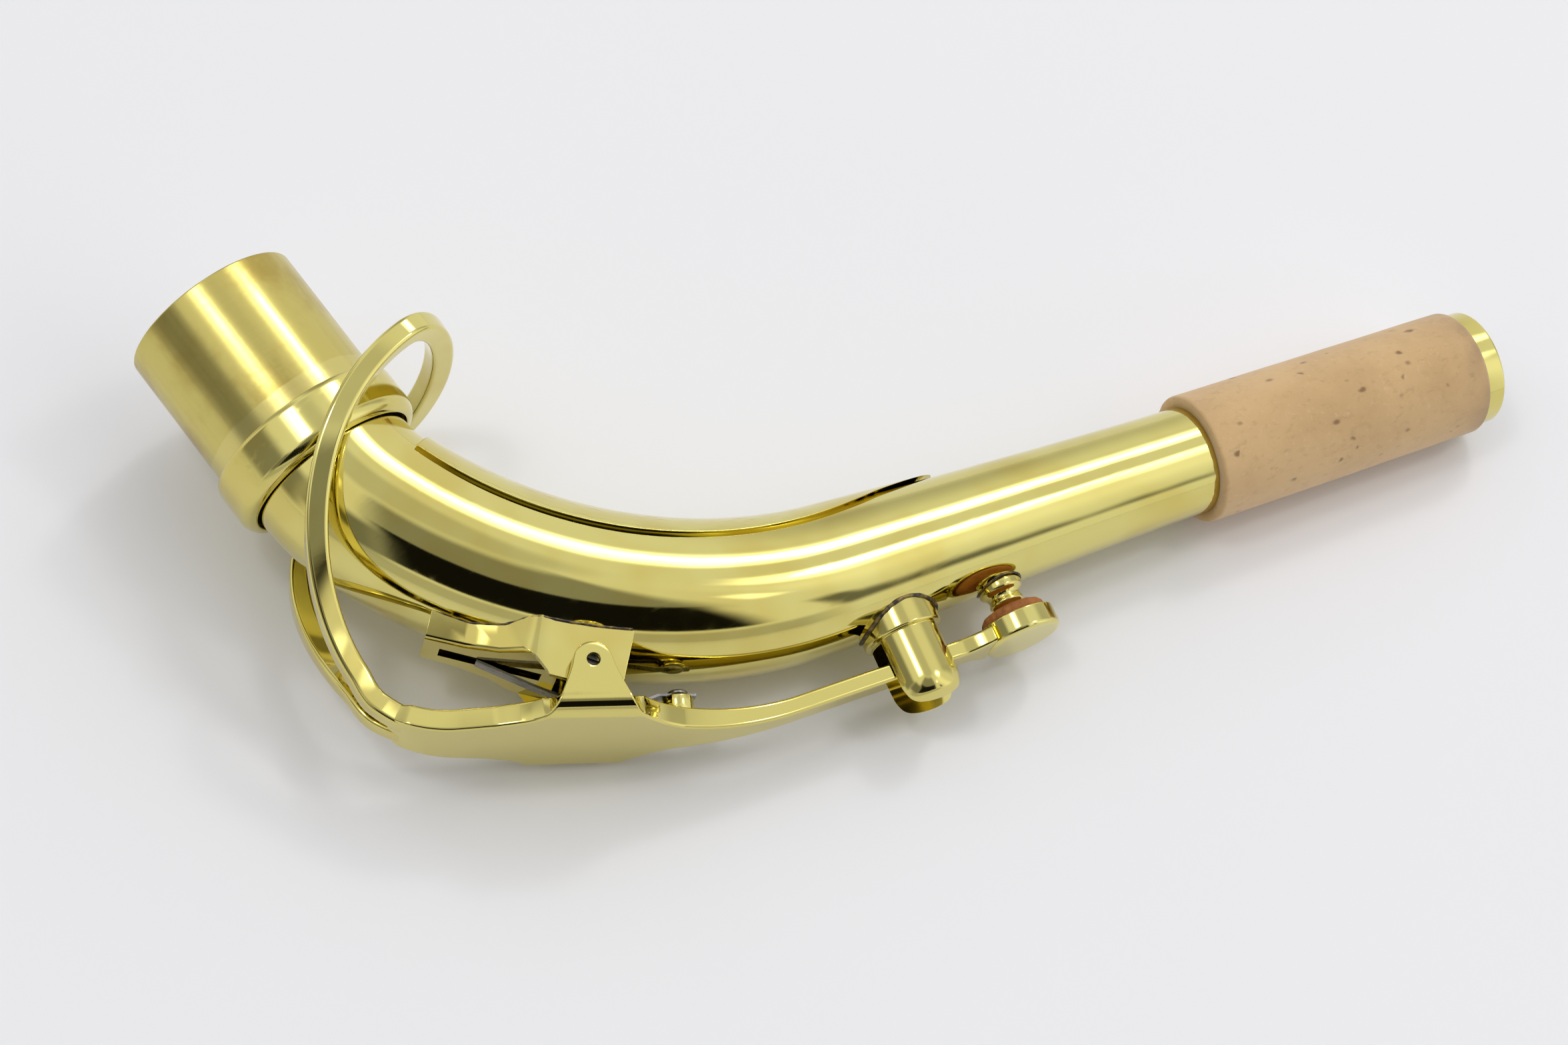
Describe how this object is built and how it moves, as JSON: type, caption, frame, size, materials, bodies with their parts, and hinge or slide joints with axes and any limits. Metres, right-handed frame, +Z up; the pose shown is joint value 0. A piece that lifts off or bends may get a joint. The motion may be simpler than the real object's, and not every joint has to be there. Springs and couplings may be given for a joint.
{
  "type": "saxophone neck",
  "caption": "Curved conical saxophone neck with a bare tenon, a cork-covered mouthpiece end, an octave pip and a sprung octave key whose loop surrounds the tenon.",
  "frame": {"origin": "centre of the tenon's open end", "axes": "+Z up, with the neck lying on its side on a flat bench; +X horizontal, the way the tenon points from its open end to the bend (the tenon dips under X by the rest pitch); +Y horizontal, the side the tube bends towards"},
  "size_m": [0.1109, 0.1654, 0.0386],
  "materials": {
    "lacquered_brass": "mirror polished under clear lacquer",
    "bare_brass": "brushed, unlacquered",
    "steel": "bright",
    "cork": "sanded natural cork",
    "leather": "soft matt",
    "felt": "pressed felt",
    "card": "stiff card"
  },
  "bodies": {
    "neck": {"neck_tube": "lacquered_brass", "tenon_sleeve": "bare_brass", "tenon_collar": "lacquered_brass", "neck_cork": "cork", "tip_ring": "lacquered_brass", "octave_pip": "lacquered_brass", "key_guide": "lacquered_brass", "underslung_brace": "lacquered_brass", "key_saddle": "lacquered_brass", "hinge_tube": "lacquered_brass"},
    "key": {"octave_key": "lacquered_brass", "pad_cup": "lacquered_brass", "pad_leather": "leather", "pad_felt": "felt", "pad_card": "card", "hinge_screw": "steel", "spring_post": "lacquered_brass", "spring_screw": "steel", "octave_spring": "steel"}
  },
  "joints": [
    {"name": "octave_key_pivot", "type": "hinge", "parent": "neck", "child": "key", "pos_m": [0.06858, 0.0086, -0.0105], "axis": [-0.1532, 0.0145, -0.9881], "range_deg": [0, 2.5], "stiffness_Nm_per_rad": 0.1, "springref_deg": -11.46}
  ]
}
